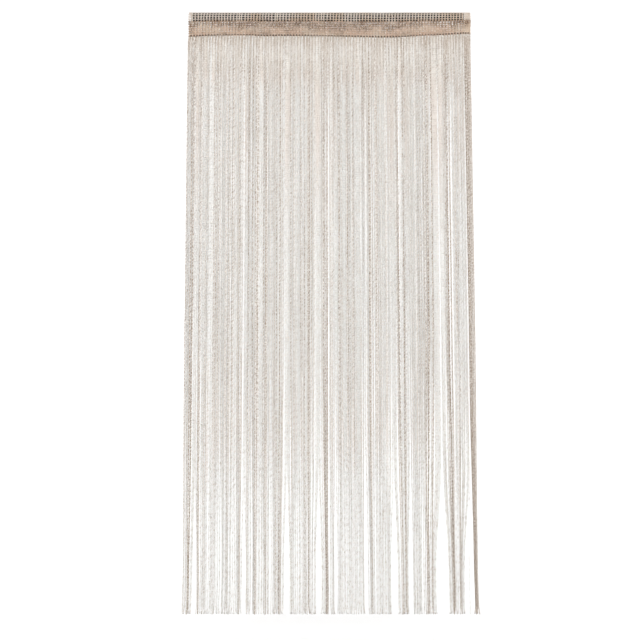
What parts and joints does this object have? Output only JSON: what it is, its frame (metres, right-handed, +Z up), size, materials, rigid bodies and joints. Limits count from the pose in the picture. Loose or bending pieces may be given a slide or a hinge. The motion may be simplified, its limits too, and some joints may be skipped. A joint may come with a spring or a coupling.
{
  "type": "tinsel string curtain on a rod",
  "caption": "String curtain of glittering metallic yarns under a netted rod pocket, hanging from a plain round rod.",
  "frame": {"origin": "on the rod's axis, at the middle of the curtain's width", "axes": "+Z up, +X along the rod to the viewer's right, the viewer looks along +Y"},
  "size_m": [0.9849, 0.032, 2.0002],
  "materials": {
    "rod": "satin dark brown paint",
    "heading": "open knitted net of beige and copper brown metallic yarn",
    "strings": "pale beige and grey twisted metallic yarn with a glitter"
  },
  "bodies": {
    "root": {"rod": "rod", "heading": "heading", "strings": "strings"}
  },
  "joints": []
}
